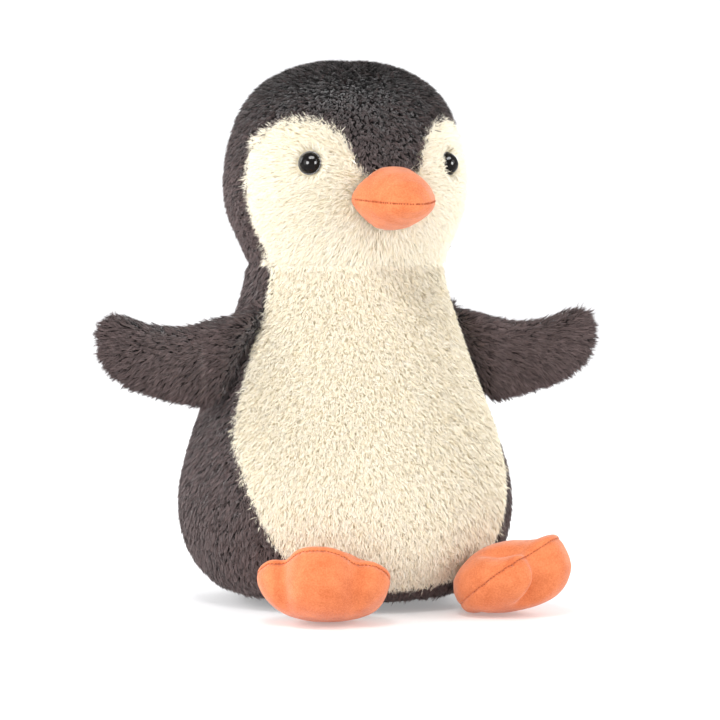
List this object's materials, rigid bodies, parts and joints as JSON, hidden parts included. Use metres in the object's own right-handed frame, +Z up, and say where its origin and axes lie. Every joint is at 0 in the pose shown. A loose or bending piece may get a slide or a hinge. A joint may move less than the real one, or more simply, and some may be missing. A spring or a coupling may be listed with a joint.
{
  "type": "plush penguin",
  "caption": "Sitting plush penguin with charcoal and cream pile fabric, orange suede beak and feet, swinging wings, tilting feet and a nodding head.",
  "frame": {"origin": "centre of the flat base that the toy sits on", "axes": "+Z up, the penguin faces -Y, +X to the penguin's own left"},
  "size_m": [0.225, 0.1733, 0.2275],
  "materials": {
    "charcoal_pile": "matte",
    "cream_pile": "matte",
    "orange_suede": "matte",
    "orange_thread": "matte",
    "charcoal_thread": "matte",
    "fibre_fill": "matte",
    "pouch_cloth": "matte",
    "pellets": "satin",
    "eye_plastic": "gloss",
    "washer_plastic": "satin"
  },
  "bodies": {
    "torso": {"tummy_panel": "cream_pile", "back_left": "charcoal_pile", "back_right": "charcoal_pile", "base_panel": "charcoal_pile", "back_stitches": "charcoal_thread", "body_fill": "fibre_fill", "bean_pouch": "pouch_cloth", "beans": "pellets"},
    "head": {"hood_left": "charcoal_pile", "hood_right": "charcoal_pile", "face_panel": "cream_pile", "eye_left": "eye_plastic", "eye_right": "eye_plastic", "eye_washer_left": "washer_plastic", "eye_washer_right": "washer_plastic", "beak_upper": "orange_suede", "beak_lower": "orange_suede", "beak_stitches": "orange_thread", "beak_fill": "fibre_fill", "head_fill": "fibre_fill"},
    "wing_left": {"wing_left_front": "charcoal_pile", "wing_left_back": "charcoal_pile", "wing_left_fill": "fibre_fill"},
    "foot_left": {"foot_left_top": "orange_suede", "foot_left_sole": "orange_suede", "foot_left_stitches": "orange_thread", "foot_left_fill": "fibre_fill"},
    "wing_right": {"wing_right_front": "charcoal_pile", "wing_right_back": "charcoal_pile", "wing_right_fill": "fibre_fill"},
    "foot_right": {"foot_right_top": "orange_suede", "foot_right_sole": "orange_suede", "foot_right_stitches": "orange_thread", "foot_right_fill": "fibre_fill"}
  },
  "joints": [
    {"name": "head_nod", "type": "hinge", "parent": "torso", "child": "head", "pos_m": [0, 0, 0.1395], "axis": [1, 0, 0], "range_deg": [-10, 10], "stiffness_Nm_per_rad": 0.4},
    {"name": "wing_left_swing", "type": "hinge", "parent": "torso", "child": "wing_left", "pos_m": [0.0606, -0.009, 0.1045], "axis": [0.3114, 0, -0.9503], "range_deg": [-40, 60], "stiffness_Nm_per_rad": 0.02},
    {"name": "wing_right_swing", "type": "hinge", "parent": "torso", "child": "wing_right", "pos_m": [-0.0606, -0.009, 0.1045], "axis": [0.3114, 0, 0.9503], "range_deg": [-40, 60], "stiffness_Nm_per_rad": 0.02},
    {"name": "foot_left_tilt", "type": "hinge", "parent": "torso", "child": "foot_left", "pos_m": [0.03337, -0.06549, 0.0084], "axis": [-0.6691, -0.7431, 0], "range_deg": [-30, 26], "stiffness_Nm_per_rad": 0.06},
    {"name": "foot_right_tilt", "type": "hinge", "parent": "torso", "child": "foot_right", "pos_m": [-0.03337, -0.06549, 0.0084], "axis": [-0.866, 0.5, 0], "range_deg": [-30, 26], "stiffness_Nm_per_rad": 0.06}
  ]
}
